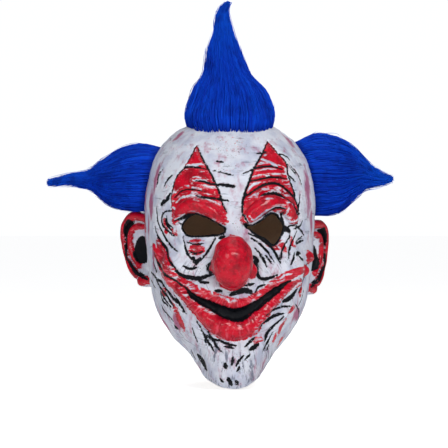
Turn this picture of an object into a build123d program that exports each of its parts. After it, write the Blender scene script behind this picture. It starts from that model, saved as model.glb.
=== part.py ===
"""Overhead latex clown mask: one slush-cast latex shell and three glued-on tufts of long-pile fur.

Millimetres. The mask faces -Y, +X is on the right of someone looking at its face, and +Z is up.
The origin is the middle of the head cavity, midway between the ears at the wearer's eye level.
"""

import math
import os
from functools import cache

from build123d import *

# Latex shell
WALL = 2.5
CHIN_Z = -158.0
SECTION_POINTS = 20
SECTION_POWER = 2.35  # 2 is an ellipse, more is squarer
SKULL_CENTRE_Z = 24.0  # above this the head is about a ball of SKULL_RADIUS
SKULL_RADIUS = 87.0
# height, half width at the face, half width at the nape, foremost Y, rearmost Y
HEAD_SECTIONS = (
    (-158.0, 15.0, 45.0, -105.0, 60.0),
    (-149.0, 26.0, 47.0, -116.0, 64.0),
    (-138.0, 33.0, 50.0, -118.0, 68.0),
    (-123.0, 44.0, 53.0, -117.0, 72.0),
    (-106.0, 59.5, 61.5, -112.0, 75.0),
    (-86.0, 73.5, 72.5, -109.0, 80.0),
    (-60.0, 80.5, 78.5, -106.0, 88.0),
    (-30.0, 84.5, 83.0, -103.0, 98.0),
    (5.0, 86.5, 86.0, -102.0, 106.0),
    (35.0, 87.0, 87.0, -101.0, 108.0),
    (60.0, 82.5, 82.5, -93.0, 102.0),
    (80.0, 72.0, 72.0, -79.0, 89.0),
    (94.0, 59.0, 59.0, -64.0, 73.0),
    (104.0, 42.0, 42.0, -45.0, 53.0),
    (110.0, 16.0, 16.0, -13.0, 20.0),
)
# The trimmed neck edge seen from the side: from under the chin, up round the neck, down to the nape flap.
RIM_EDGE = (
    (-90.0, -160.0),
    (-78.0, -147.0),
    (-66.0, -131.0),
    (-45.0, -118.0),
    (-20.0, -112.0),
    (8.0, -112.0),
    (34.0, -124.0),
    (50.0, -142.0),
    (64.0, -150.0),
    (90.0, -151.0),
)

# Face: X, Z points of each outline, as seen from the front
LEFT_EYE = ((-51.0, 3.0), (-43.0, 11.0), (-31.0, 12.5), (-11.0, -3.0), (-25.0, -7.5), (-44.0, -7.5))
RIGHT_EYE = ((12.0, 0.0), (24.0, 10.5), (37.0, 13.5), (48.0, 7.0), (49.5, -6.0), (40.0, -17.5), (24.0, -8.0))
NOSE_CENTRE = (0.0, -119.0, -34.5)
NOSE_RADIUS = 21.0
NOSE_HALF_HEIGHT = 26.5
NOSTRIL_RADIUS = 2.2
NOSTRIL_X = 8.0
LIPS = (  # half width, height in the middle, rise per square millimetre, radius
    (64.0, -77.0, 0.0112, 5.0),
    (56.0, -103.0, 0.0150, 7.0),
)
BROW = ((60.0, 8.0), (46.0, 23.0), (32.0, 21.5), (17.0, 9.0))
BROW_RADIUS = 5.0

# Ears, drawn in the ear's own plane: distance out of the skull, height above the ear's middle
EAR_OUTLINE = (
    (-2.0, -30.0),
    (8.0, -38.5),
    (18.0, -36.0),
    (25.0, -22.0),
    (34.0, -8.0),
    (43.0, 8.0),
    (44.0, 24.0),
    (34.0, 35.5),
    (18.0, 35.5),
    (4.0, 28.0),
    (-3.0, 8.0),
)
EAR_ROOT_X = 77.0
EAR_ROOT_Y = -6.0
EAR_THICKNESS = 7.0
EAR_DISH = (28.5, 6.0, 8.0, 19.0, 3.5)  # centre out, centre up, half width, half height, depth
EARS = ((-1, 50.0, -21.0), (1, 36.0, -29.0))  # side, flare from the skull in degrees, height of the middle

# Fur tufts
GLUE = 0.8
BACKING = 1.2
CONTACT = 0.04  # free gap between layers that lie on each other
BEND_GAP = 0.9  # free gap between a tuft's root and its bending end
SIDE_TUFT_Y = 6.0
SIDE_TUFT_Z = 52.0
# Each tuft's sections along its own axis: distance along, middle across, middle up, radius across, radius up
TUFTS = {
    "top": {
        "plane": Plane(origin=(0, 0, 0), x_dir=(1, 0, 0), z_dir=(0, 0, 1)),
        "patch_radius": 40.0,
        "patch_span": (45.0, 125.0),
        "bend_at": 150.0,
        "bend_radius": 28.9,
        "sections": (
            (86.0, 0.0, -9.0, 43.0, 52.0),
            (98.0, 0.0, -8.0, 44.5, 50.5),
            (112.0, 0.0, -4.0, 45.0, 47.0),
            (126.0, -0.5, -1.0, 43.0, 42.0),
            (140.0, -1.0, 0.0, 34.5, 34.0),
            (155.0, -2.0, 0.0, 26.0, 26.0),
            (174.0, -6.0, 0.0, 17.5, 18.0),
            (195.0, -8.0, 0.0, 11.5, 12.0),
            (214.0, -7.5, 0.0, 5.5, 6.0),
            (228.0, -3.5, 0.0, 2.0, 2.0),
        ),
    },
    "left": {
        "plane": Plane(origin=(0, SIDE_TUFT_Y, SIDE_TUFT_Z), x_dir=(0, -1, 0), z_dir=(-1, 0, 0)),
        "patch_radius": 28.0,
        "patch_span": (50.0, 105.0),
        "bend_at": 122.0,
        "bend_radius": 22.2,
        "sections": (
            (62.0, 0.0, 0.0, 28.0, 28.5),
            (78.0, 0.0, 0.5, 31.5, 32.0),
            (95.0, 0.0, 1.5, 33.0, 33.5),
            (110.0, 0.0, 1.5, 29.0, 29.5),
            (126.0, 0.0, 0.5, 19.0, 19.0),
            (140.0, 0.0, -1.0, 10.0, 10.0),
            (158.0, 0.0, -3.5, 5.0, 5.0),
            (184.0, 0.0, -5.0, 1.6, 1.6),
        ),
    },
    "right": {
        "plane": Plane(origin=(0, SIDE_TUFT_Y, SIDE_TUFT_Z), x_dir=(0, 1, 0), z_dir=(1, 0, 0)),
        "patch_radius": 30.0,
        "patch_span": (50.0, 105.0),
        "bend_at": 123.0,
        "bend_radius": 26.1,
        "sections": (
            (60.0, 0.0, 0.0, 31.0, 32.0),
            (76.0, 0.0, 2.0, 35.0, 36.0),
            (94.0, 0.0, 3.0, 37.5, 39.5),
            (110.0, 0.0, 3.5, 34.5, 36.0),
            (124.0, 0.0, 4.0, 24.5, 25.0),
            (136.0, 0.0, 1.5, 15.0, 15.5),
            (150.0, 0.0, -2.5, 7.0, 7.5),
            (166.0, 0.0, -3.5, 1.6, 1.6),
        ),
    },
}


def head_outline(section, spread):
    """Points round one head section from the middle of the nape, moved outwards by spread."""
    _, face_half, nape_half, front_y, rear_y = section
    middle = (front_y + rear_y) / 2
    reach = (rear_y - front_y) / 2 + spread
    points = []
    for i in range(SECTION_POINTS):
        turn = 2 * math.pi * i / SECTION_POINTS
        across, along = math.sin(turn), math.cos(turn)
        half = nape_half + (face_half - nape_half) * (1 - along) / 2 + spread
        size = (abs(across) ** SECTION_POWER + abs(along) ** SECTION_POWER) ** (-1 / SECTION_POWER)
        points.append((half * across * size, middle + reach * along * size))
    return points


@cache
def head_form(grow, bottom_z=CHIN_Z):
    """The head's closed outer form, grown by grow: a loft from the chin to the crown."""
    with BuildPart() as form:
        for i, section in enumerate(HEAD_SECTIONS):
            steepness = max(0.0, (section[0] - SKULL_CENTRE_Z) / SKULL_RADIUS)
            height = section[0] + grow * steepness if i else bottom_z
            with BuildSketch(Plane.XY.offset(height)):
                with BuildLine():
                    Spline(*head_outline(section, grow * math.sqrt(1 - steepness**2)), periodic=True)
                make_face()
        loft()
    return form.part


def face_y(x, z):
    """Y of the face's surface in front of the point x, z."""
    for low, high in zip(HEAD_SECTIONS, HEAD_SECTIONS[1:]):
        if low[0] <= z <= high[0]:
            share = (z - low[0]) / (high[0] - low[0])
            _, half, _, front_y, rear_y = (a + (b - a) * share for a, b in zip(low, high))
    across = min(abs(x) / half, 0.98) ** SECTION_POWER
    middle, reach = (front_y + rear_y) / 2, (rear_y - front_y) / 2
    return middle - reach * (1 - across) ** (1 / SECTION_POWER)


def spheroid(centre, radius, half_height):
    """A ball stretched along Z, with its poles before and behind it."""
    with BuildPart() as ball:
        Sphere(radius, rotation=(90, 0, 0))
        scale(by=(1, 1, half_height / radius))
    return ball.part.moved(Location(centre))


def ridge(points, radius):
    """A rounded ridge of latex along X, Z points on the face."""
    with BuildPart() as made:
        with BuildLine() as line:
            Spline(*[(x, face_y(x, z), z) for x, z in points])
        with BuildSketch(Plane(origin=line.line @ 0, z_dir=line.line % 0)):
            Circle(radius)
        sweep()
    return made.part


def lip(half_width, middle_z, rise, radius):
    """One lip of the grin, from cheek to cheek."""
    steps = 6
    across = [half_width * (2 * i / steps - 1) for i in range(steps + 1)]
    return ridge([(x, middle_z + rise * x * x) for x in across], radius)


def ear(side, flare, middle_z):
    """A cast ear, rooted inside the skull's wall and flared forwards. Its plane's Y points down on the left."""
    angle = math.radians(flare)
    plane = Plane(
        origin=(side * EAR_ROOT_X, EAR_ROOT_Y, middle_z),
        x_dir=(side * math.sin(angle), math.cos(angle), 0),
        z_dir=(side * math.cos(angle), -math.sin(angle), 0),
    )
    out_mid, up_mid, half_width, half_height, depth = EAR_DISH
    with BuildPart() as made:
        with BuildSketch(plane):
            with BuildLine():
                Spline(*[(out, up * side) for out, up in EAR_OUTLINE], periodic=True)
            make_face()
        extrude(amount=-EAR_THICKNESS)
        with BuildSketch(plane):
            with Locations((out_mid, up_mid * side)):
                Ellipse(half_width, half_height)
        extrude(amount=-depth, mode=Mode.SUBTRACT)
    return made.part


def shell():
    """The cast latex: skull, face and ears in one wall, open at the eyes, nostrils and neck."""
    nose_x, nose_y, nose_z = NOSE_CENTRE
    with BuildPart() as made:
        add(head_form(0))
        add(spheroid(NOSE_CENTRE, NOSE_RADIUS, NOSE_HALF_HEIGHT))
        for side, flare, middle_z in EARS:
            add(ear(side, flare, middle_z))
        for half_width, middle_z, rise, radius in LIPS:
            add(lip(half_width, middle_z, rise, radius))
        for side in (-1, 1):
            add(ridge([(side * x, z) for x, z in BROW], BROW_RADIUS))
        add(head_form(-WALL, CHIN_Z + 2 * WALL), mode=Mode.SUBTRACT)
        hollow = (nose_x, nose_y + WALL, nose_z)
        add(spheroid(hollow, NOSE_RADIUS - WALL, NOSE_HALF_HEIGHT - WALL), mode=Mode.SUBTRACT)
        for outline in (LEFT_EYE, RIGHT_EYE):
            with BuildSketch(Plane.XZ.offset(50)):
                with BuildLine():
                    Spline(*outline, periodic=True)
                make_face()
            extrude(amount=100, mode=Mode.SUBTRACT)
        with BuildSketch(Plane.XY.offset(nose_z - NOSE_HALF_HEIGHT - 2)):
            with Locations((-NOSTRIL_X, nose_y), (NOSTRIL_X, nose_y)):
                Circle(NOSTRIL_RADIUS)
        extrude(amount=NOSE_HALF_HEIGHT / 2, mode=Mode.SUBTRACT)
        below = CHIN_Z - 10
        with BuildSketch(Plane.YZ):
            with BuildLine():
                Spline(*RIM_EDGE)
                Polyline(RIM_EDGE[-1], (RIM_EDGE[-1][0], below), (RIM_EDGE[0][0], below), RIM_EDGE[0])
            make_face()
        extrude(amount=150, both=True, mode=Mode.SUBTRACT)
    return made.part


def layer(tuft, inner, outer):
    """The part of a tuft's round patch that lies between two heights above the latex."""
    near, far = tuft["patch_span"]
    with BuildPart() as made:
        with BuildSketch(tuft["plane"].offset(near)):
            Circle(tuft["patch_radius"])
        extrude(amount=far - near)
        add(head_form(outer), mode=Mode.INTERSECT)
        add(head_form(inner), mode=Mode.SUBTRACT)
    return made.part


def pile(tuft):
    """A tuft's whole mass of pile, standing on its backing."""
    plane = tuft["plane"]
    with BuildPart() as made:
        for along, across, up, half_across, half_up in tuft["sections"]:
            with BuildSketch(plane.offset(along)):
                with Locations((across, up)):
                    Ellipse(half_across, half_up)
        loft()
        add(head_form(GLUE + BACKING + 2 * CONTACT), mode=Mode.SUBTRACT)
    return made.part


def bend_centre(tuft):
    """The point inside the pile that its free end bends about, and the local height of the bend."""
    sections = tuft["sections"]
    at = tuft["bend_at"]
    for low, high in zip(sections, sections[1:]):
        if low[0] <= at <= high[0]:
            share = (at - low[0]) / (high[0] - low[0])
            across = low[1] + (high[1] - low[1]) * share
            up = low[2] + (high[2] - low[2]) * share
    return tuft["plane"].from_local_coords(Vector(across, up, at))


def pile_root(tuft, whole):
    """The half of the pile that stands on the patch, with a socket that the bending end turns in."""
    with BuildPart() as made:
        add(whole)
        split(bisect_by=tuft["plane"].offset(tuft["bend_at"]), keep=Keep.BOTTOM)
        with Locations(Location(bend_centre(tuft))):
            Sphere(tuft["bend_radius"] + BEND_GAP, mode=Mode.SUBTRACT)
    return made.part


def pile_tip(tuft, whole):
    """The free end of the pile, with a round heel about its bend."""
    with BuildPart() as heel:
        with Locations(Location(bend_centre(tuft))):
            Sphere(tuft["bend_radius"])
        split(bisect_by=tuft["plane"].offset(tuft["bend_at"]), keep=Keep.BOTTOM)
    with BuildPart() as made:
        add(whole)
        split(bisect_by=tuft["plane"].offset(tuft["bend_at"]), keep=Keep.TOP)
        add(heel.part)
    return made.part


def write(part, name):
    """Labels a finished piece and writes its STEP file."""
    part.label = name
    export_step(part, f"parts/{name}.step")


os.makedirs("parts", exist_ok=True)
write(shell(), "latex_shell")
for side, tuft in TUFTS.items():
    whole = pile(tuft)
    write(layer(tuft, CONTACT, GLUE), f"glue_bed_{side}")
    write(layer(tuft, GLUE + CONTACT, GLUE + BACKING), f"fur_backing_{side}")
    write(pile_root(tuft, whole), f"fur_root_{side}")
    write(pile_tip(tuft, whole), f"fur_tip_{side}")
    print(side, "bends about", bend_centre(tuft))
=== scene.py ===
"""Looks of the overhead latex clown mask: a sculpted and painted latex skin and three tufts of combed fur.

The sculpt is worked out in millimetres, in the frame's own axes: -Y is out through the face, +X is on the
right of someone looking at it, +Z is up. Every mesh is scaled to metres as it is made.
"""

import math

import bpy
import numpy as np
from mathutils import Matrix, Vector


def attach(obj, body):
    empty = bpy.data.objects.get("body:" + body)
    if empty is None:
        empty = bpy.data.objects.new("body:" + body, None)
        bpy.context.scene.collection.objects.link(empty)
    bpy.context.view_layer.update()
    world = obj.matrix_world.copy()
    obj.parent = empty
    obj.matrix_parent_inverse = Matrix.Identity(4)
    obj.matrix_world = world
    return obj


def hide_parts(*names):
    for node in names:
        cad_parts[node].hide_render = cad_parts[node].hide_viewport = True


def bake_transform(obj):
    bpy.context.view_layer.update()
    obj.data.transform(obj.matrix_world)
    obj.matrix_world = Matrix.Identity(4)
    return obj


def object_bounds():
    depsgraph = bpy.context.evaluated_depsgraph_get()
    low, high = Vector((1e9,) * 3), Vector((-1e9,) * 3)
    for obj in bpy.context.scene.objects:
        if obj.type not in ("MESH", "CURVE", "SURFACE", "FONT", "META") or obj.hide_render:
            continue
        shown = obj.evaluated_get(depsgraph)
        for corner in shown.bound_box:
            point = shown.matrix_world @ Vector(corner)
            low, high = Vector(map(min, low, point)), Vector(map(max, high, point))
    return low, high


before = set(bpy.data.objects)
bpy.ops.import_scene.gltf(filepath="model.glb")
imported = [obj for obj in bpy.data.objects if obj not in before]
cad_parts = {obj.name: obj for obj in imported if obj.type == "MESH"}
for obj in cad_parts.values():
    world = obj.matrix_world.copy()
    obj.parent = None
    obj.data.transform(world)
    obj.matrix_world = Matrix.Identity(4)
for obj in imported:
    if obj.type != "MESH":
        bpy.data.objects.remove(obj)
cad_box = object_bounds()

import openvdb
from mathutils import Vector

MM = 0.001
SIDES = ("top", "left", "right")

# ---------------------------------------------------------------- the head's form

VOXEL = 1.3  # spacing of the clay block that the skin is sculpted in
CLAY_LOW = (-117.0, -147.0, -169.0)
CLAY_HIGH = (110.0, 114.0, 116.0)
DEEPEST = 40.0  # distances from the surface are worked out no further than this
WALL = 2.4
LEAST_WALL = 1.9  # kept under the sunken forms
SQUARENESS = 2.35  # power of the head's sections: 2 is an ellipse
CROWN_Z = 110.4
CHIN_Z = -155.5
# height, half width at the face, half width at the nape, foremost Y, rearmost Y
HEAD_SECTIONS = np.array([
    (-158, 15, 45, -103, 60), (-149, 25.5, 47, -114, 64), (-138, 32, 50, -117, 68),
    (-123, 43, 53, -115, 72), (-106, 59, 61.5, -110, 75), (-86, 73, 72, -107, 80),
    (-60, 80.5, 78.5, -105, 88), (-30, 84.5, 83, -103, 98), (5, 86, 86, -102, 106),
    (35, 87, 87, -101, 108), (60, 82.5, 82.5, -93, 102), (80, 72, 72, -79, 89), (94, 59, 59, -64, 73),
    (104, 42, 42, -45, 53), (110, 14, 14, -13, 20),
], float)
RIM_EDGE = np.array([(-90, -160), (-78, -147), (-66, -131), (-45, -118), (-20, -112), (8, -112), (34, -124),
                     (50, -142), (64, -150), (90, -151)], float)  # Y, Z

LEFT_EYE = ((-49, 0), (-45, 8), (-36, 13), (-23, 8), (-9, -1), (-15, -6), (-30, -7), (-45, -6))
RIGHT_EYE = (
    (13, 2), (21, 2), (31, 10), (40, 14), (48, 4), (48, -3), (44, -11), (40, -16), (32, -10), (21, -4),
)
NOSE = ((-1.5, -119.0, -33.0), (20.0, 20.5, 26.0))  # centre, radii
BRIDGE = ((-2, 14, 7), (-2, 0, 7), (-1.5, -14, 9))  # X, Z, radius
NOSE_WINGS = ((-19, -38, 3.5), (17.5, -41, 5.5))  # X, Z, radius of the red on it
CHEEKS = ((-52, -40, 17), (53, -38, 17))  # X, Z, size
MUZZLE = ((-1, -98, -60), (36, 15, 14))  # centre, radii
CHIN = ((1, -98, -134), (22, 20, 20))
BROW_DIP = ((0, -101, 34), (13, 5, 12))
EYE_HOLLOW_X = (-30, 31)
NOSTRIL_X = 8.0
NOSTRIL_RADIUS = 2.2

# X, Z, radius along the middle of each lip, and half height of the open grin
UPPER_LIP = (
    (-77, -18, 2), (-64, -39, 3.5), (-47, -55, 4.5), (-30, -64, 5), (-14, -70, 5.5), (0, -75, 6),
    (14, -73, 5.5), (28, -65, 5), (41, -55, 4.5), (54, -46, 4), (66, -40, 2),
)
LOWER_LIP = (
    (-76, -27, 1.5), (-66, -45, 3), (-52, -61, 4), (-36, -76, 6), (-24, -87, 8), (-12, -96, 9.5),
    (1, -99, 10), (13, -96, 9.5), (23, -88, 8), (33, -76, 6), (47, -64, 4.5), (60, -53, 2.5),
)
MOUTH = (
    (-45, -60, 0.4), (-36, -68, 2.5), (-19, -76.5, 4), (1, -85, 6), (18, -77, 4.5), (31, -68, 3.5),
    (43, -59, 3), (54, -52, 0.8),
)
LEFT_BROW = ((-56, 8, 4.5), (-50, 17, 6.5), (-40, 22.5, 7), (-27, 20, 7), (-14, 11, 5.5), (-8, 6, 2.5))
RIGHT_BROW = ((12, 8, 4.5), (19, 14, 6.5), (28, 21, 7), (40, 25, 7), (52, 20, 7), (59, 9, 5.5))
LEFT_LID = ((-51, -10, 2.5), (-36, -13, 3.5), (-19, -10, 2.5))
RIGHT_LID = ((14, -8, 2.5), (28, -14, 3.5), (38, -22, 3), (46, -19, 2.5), (55, -6, 2))
GRIN_LUMPS = ((76, -29, 6.5), (70, -42, 6.5), (63, -54, 5), (-72, -48, 4.5))  # X, Z, size


def hermite(at, knots, values):
    """A smooth curve through the knots, without overshoot at its ends."""
    slopes = np.gradient(values, knots)
    i = np.clip(np.searchsorted(knots, at) - 1, 0, len(knots) - 2)
    gap = knots[i + 1] - knots[i]
    t = np.clip((at - knots[i]) / gap, 0, 1)
    rise = (3 - 2 * t) * t * t
    return (values[i] * (1 - rise) + values[i + 1] * rise
            + gap * (slopes[i] * t * (1 - t) ** 2 - slopes[i + 1] * t * t * (1 - t)))


def smooth_min(a, b, k):
    """The lower of two distances, rounded over k where they meet."""
    near = np.clip(0.5 + 0.5 * (b - a) / k, 0, 1)
    return b + (a - b) * near - k * near * (1 - near)


def smooth_max(a, b, k):
    """The higher of two distances, rounded over k where they meet."""
    return -smooth_min(-a, -b, k)


def ramp(value, low, high):
    """0 below low, 1 above high, smooth between."""
    t = np.clip((value - low) / (high - low), 0, 1)
    return t * t * (3 - 2 * t)


def unit(vectors):
    """Each vector at a length of 1."""
    return vectors / np.maximum(np.linalg.norm(vectors, axis=-1, keepdims=True), 1e-6)


def corners(frac):
    """The eight corners of a cell, and how much each counts at places in it."""
    for corner in range(8):
        step = np.array([corner & 1, corner >> 1 & 1, corner >> 2 & 1])
        yield step, np.prod(np.where(step, frac, 1 - frac), axis=1)


def value_noise(points, size, seed):
    """Smooth noise from -1 to 1 at points, with lumps of about the given size."""
    cell = points / size
    base = np.floor(cell).astype(np.int64)
    frac = cell - base
    total = np.zeros(len(points))
    for step, weight in corners(frac * frac * (3 - 2 * frac)):
        key = (base + step) @ np.array([73856093, 19349663, 83492791]) + seed * 2654435761  # a plain hash
        key = (key ^ (key >> 13)) * 1274126177 & 0x7FFFFFFF
        total += weight * (((key ^ (key >> 16)) & 0xFFFF) / 32767.5 - 1)
    return total


def spline_points(points, steps=5):
    """A Catmull-Rom curve through the points, as an array with steps spans between each two."""
    p = np.array(points, float)
    p = np.vstack([2 * p[0] - p[1], p, 2 * p[-1] - p[-2]])
    out = []
    for a, b, c, d in zip(p, p[1:], p[2:], p[3:]):
        for i in range(steps):
            t = i / steps
            out.append(0.5 * (2 * b + (c - a) * t + (2 * a - 5 * b + 4 * c - d) * t * t
                              + (3 * b - a - 3 * c + d) * t ** 3))
    out.append(p[-2])
    return np.array(out)


def closed_spline(points, steps=5):
    """A closed Catmull-Rom outline through the points."""
    p = [tuple(q) for q in points]
    return spline_points([p[-1]] + p + [p[0], p[1]], steps)[steps:-2 * steps]


def outline_distance(u, v, outline):
    """Signed distance to a closed outline in the plane, negative inside it."""
    nearest = np.full(u.shape, 1e9)
    inside = np.zeros(u.shape, bool)
    for (ax, ay), (bx, by) in zip(outline, np.roll(outline, -1, axis=0)):
        dx, dy = bx - ax, by - ay
        t = np.clip(((u - ax) * dx + (v - ay) * dy) / (dx * dx + dy * dy), 0, 1)
        nearest = np.minimum(nearest, (u - ax - t * dx) ** 2 + (v - ay - t * dy) ** 2)
        crosses = (ay > v) != (by > v)
        if by != ay:
            inside ^= crosses & (u < (v - ay) / (by - ay) * dx + ax)
    return np.where(inside, -1, 1) * np.sqrt(nearest)


def path_distance(position, path):
    """Distance from an array of positions to a path whose last column is its radius."""
    best = np.full(position[0].shape, 1e9)
    for a, b in zip(path, path[1:]):
        span = b[:-1] - a[:-1]
        t = sum((p - o) * s for p, o, s in zip(position, a, span)) / (span @ span)
        t = np.clip(t, 0, 1)
        square = sum((p - o - t * s) ** 2 for p, o, s in zip(position, a, span))
        best = np.minimum(best, np.sqrt(square) - (a[-1] + t * (b[-1] - a[-1])))
    return best


def section_at(z):
    """The head's half widths, front and rear at a height. Squared widths keep the crown round."""
    z = np.clip(np.asarray(z, float), HEAD_SECTIONS[0, 0], HEAD_SECTIONS[-1, 0])
    knots = HEAD_SECTIONS[:, 0]
    middle = hermite(z, knots, (HEAD_SECTIONS[:, 3] + HEAD_SECTIONS[:, 4]) / 2)
    squares = ((HEAD_SECTIONS[:, 4] - HEAD_SECTIONS[:, 3]) / 2) ** 2
    reach = np.sqrt(np.maximum(hermite(z, knots, squares), 1))
    face, nape = (np.sqrt(np.maximum(hermite(z, knots, HEAD_SECTIONS[:, i] ** 2), 1)) for i in (1, 2))
    return face, nape, middle, reach


def head_share(x, y, z):
    """How far out a point lies on the head's own sections: 1 on the surface, less inside."""
    face, nape, middle, reach = section_at(z)
    along = (y - middle) / reach
    half = nape + (face - nape) * (1 - np.clip(along, -1, 1)) / 2
    return (np.abs(x / half) ** SQUARENESS + np.abs(along) ** SQUARENESS) ** (1 / SQUARENESS)


def face_y(x, z):
    """Y of the head's own front surface at x, z."""
    face, _, middle, reach = section_at(z)
    across = np.minimum(np.abs(x) / face, 0.985) ** SQUARENESS
    return middle - reach * (1 - across) ** (1 / SQUARENESS)


def on_face(path, sink=0.0):
    """X, Z, radius points of a path as X, Y, Z, radius points on the face, sunk into it."""
    p = spline_points(path)
    return np.column_stack([p[:, 0], face_y(p[:, 0], p[:, 1]) + sink, p[:, 1], p[:, 2]])


class Clay:
    """A block of signed distances, negative in the latex, that forms are added to and cut from."""

    def __init__(self, axes, distances):
        self.axes = axes
        self.d = distances.astype(np.float32)

    def grid(self, where):
        """The open coordinate arrays of a part of the block."""
        return np.ix_(*[axis[part] for axis, part in zip(self.axes, where)])

    def around(self, low, high):
        """The part of the block between two corners."""
        return tuple(slice(*np.searchsorted(axis, (a, b))) for axis, a, b in zip(self.axes, low, high))

    def add(self, form, low, high, blend):
        """Adds a form, a function of x, y, z, blended into what is there."""
        where = self.around(np.subtract(low, blend), np.add(high, blend))
        self.d[where] = smooth_min(self.d[where], form(*self.grid(where)), blend)

    def cut(self, form, low, high, blend):
        """Cuts a form away."""
        where = self.around(np.subtract(low, blend), np.add(high, blend))
        self.d[where] = smooth_max(self.d[where], -form(*self.grid(where)), blend)

    def ball(self, centre, radii, blend, cut=False):
        """Adds or cuts an ellipsoid."""
        def form(x, y, z):
            scaled = [(p - c) / r for p, c, r in zip((x, y, z), centre, radii)]
            length = np.sqrt(sum(s * s for s in scaled))
            slope = np.sqrt(sum((s / r) ** 2 for s, r in zip(scaled, radii)))
            return length * (length - 1) / np.maximum(slope, 1e-6)
        low, high = np.subtract(centre, radii), np.add(centre, radii)
        (self.cut if cut else self.add)(form, low - 2, high + 2, blend)

    def tube(self, path, blend, cut=False):
        """Adds or cuts a round path of X, Y, Z, radius points."""
        wide = path[:, 3].max() + 2
        low, high = path[:, :3].min(axis=0) - wide, path[:, :3].max(axis=0) + wide
        (self.cut if cut else self.add)(lambda x, y, z: path_distance((x, y, z), path), low, high, blend)

    def sample(self, points):
        """The distance at each point."""
        at = np.column_stack([np.clip((p - axis[0]) / VOXEL, 0, len(axis) - 1.001)
                              for p, axis in zip(points.T, self.axes)])
        base = at.astype(int)
        return sum(weight * self.d[tuple((base + step).T)] for step, weight in corners(at - base))

    def slope(self, points, reach=1.0):
        """The unit outward direction at each point."""
        rise = np.empty_like(points)
        for i in range(3):
            step = np.zeros(3)
            step[i] = reach
            rise[:, i] = self.sample(points + step) - self.sample(points - step)
        return unit(rise)


def head_clay():
    """The head's plain form as clay."""
    axes = [np.arange(low, high, VOXEL) for low, high in zip(CLAY_LOW, CLAY_HIGH)]
    x, y, z = np.ix_(*axes)
    middle = section_at(z)[2]
    radial = np.sqrt(x * x + (y - middle) ** 2) * (1 - 1 / np.maximum(head_share(x, y, z), 0.05))
    radial = smooth_max(radial, z - CROWN_Z, 5)
    radial = smooth_max(radial, CHIN_Z - z, 12)
    steep = np.sqrt(sum(g * g for g in np.gradient(radial, VOXEL)))
    return Clay(axes, np.clip(radial / np.maximum(steep, 0.6), -DEEPEST, DEEPEST))


# ---------------------------------------------------------------- ears

EAR_OUTLINE = (
    (-4, -30), (5, -38), (15, -40.5), (24, -34), (33, -26), (40, -11), (44, 6), (45, 23), (36, 36),
    (20, 37), (5, 30), (-5, 9),
)
EAR_RIM = (
    (2, 20, 3.2), (8, 29, 4), (19, 33, 4.6), (31, 32, 4.6), (39.5, 24, 3.8), (42, 12, 2.8), (40, 0, 2.7),
    (35, -12, 3.2), (29, -21, 4.2), (23, -27, 4.2),
)
EAR_FOLD = ((12, 22, 2), (22, 23, 2.8), (31, 18, 3.2), (32.5, 3, 3.2), (28, -8, 3.2), (21, -17, 3))
EAR_FLAP = ((1, -2, 4), (3, -12, 4.5), (7, -20, 3))
EAR_LOBE = ((8, -32, 5), (17, -33.5, 5.5))
EAR_GROOVE = (
    (31, 27, 2.8), (36.5, 20, 2.4), (37.5, 6, 1.2), (35.5, -8, 0.9), (31, -14, 1.2), (20, -26, 1.4),
    (7, -31, 1),
)
CONCHA = ((15.5, -1, 0), (10, 15, 4.4))  # centre, radii of the deep bowl
EAR_PLATE = -5.2  # middle of the ear's thickness, from its face
EAR_HALF_THICK = 2.2
BOWL_PAINT = (17.0, -1.0, 10.6, 14.0)  # middle and half sizes
EAR_ROOT = (77.0, -6.0)  # X on either side, Y
EAR_PLACES = {-1: (50.0, -21.0), 1: (36.0, -29.0)}  # side: flare in degrees, height of the middle


def ear_axes(side):
    """The ear's own origin, outward axis and facing axis."""
    flare, middle_z = EAR_PLACES[side]
    turn = math.radians(flare)
    origin = np.array([side * EAR_ROOT[0], EAR_ROOT[1], middle_z])
    out = np.array([side * math.sin(turn), math.cos(turn), 0])
    facing = np.array([side * math.cos(turn), -math.sin(turn), 0])
    return origin, out, facing


def in_ear(side, x, y, z):
    """Positions in the ear's own axes: outwards, up, and out of its face."""
    origin, out, facing = ear_axes(side)
    dx, dy = x - origin[0], y - origin[1]
    return dx * out[0] + dy * out[1], z - origin[2], dx * facing[0] + dy * facing[1]


def ear_path(path, lift):
    """An ear's path of outward, up, radius points at a height off its face."""
    p = spline_points(path)
    return np.column_stack([p[:, 0], p[:, 1], np.full(len(p), lift), p[:, 2]])


def ear_form(side):
    """The ear as a distance function: a plate with a rolled rim, an inner fold, a lobe and a deep bowl."""
    outline = closed_spline(EAR_OUTLINE)
    rim, fold = ear_path(EAR_RIM, -0.5), ear_path(EAR_FOLD, -1.5)
    flap, lobe = ear_path(EAR_FLAP, 0), ear_path(EAR_LOBE, -2)

    def form(x, y, z):
        u, v, w = np.broadcast_arrays(*in_ear(side, x, y, z))
        edge = outline_distance(u, v, outline)
        d = smooth_max(edge + 1.2, np.abs(w - EAR_PLATE) - EAR_HALF_THICK, 3)
        for path in (rim, fold, flap, lobe):
            d = smooth_min(d, path_distance((u, v, w), path), 2.5)
        bowl = [(p - c) / r for p, c, r in zip((u, v, w), *CONCHA)]
        length = np.sqrt(sum(b * b for b in bowl))
        return smooth_max(d, (1 - length) * 6, 2)

    return form


# ---------------------------------------------------------------- the sculpt

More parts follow.
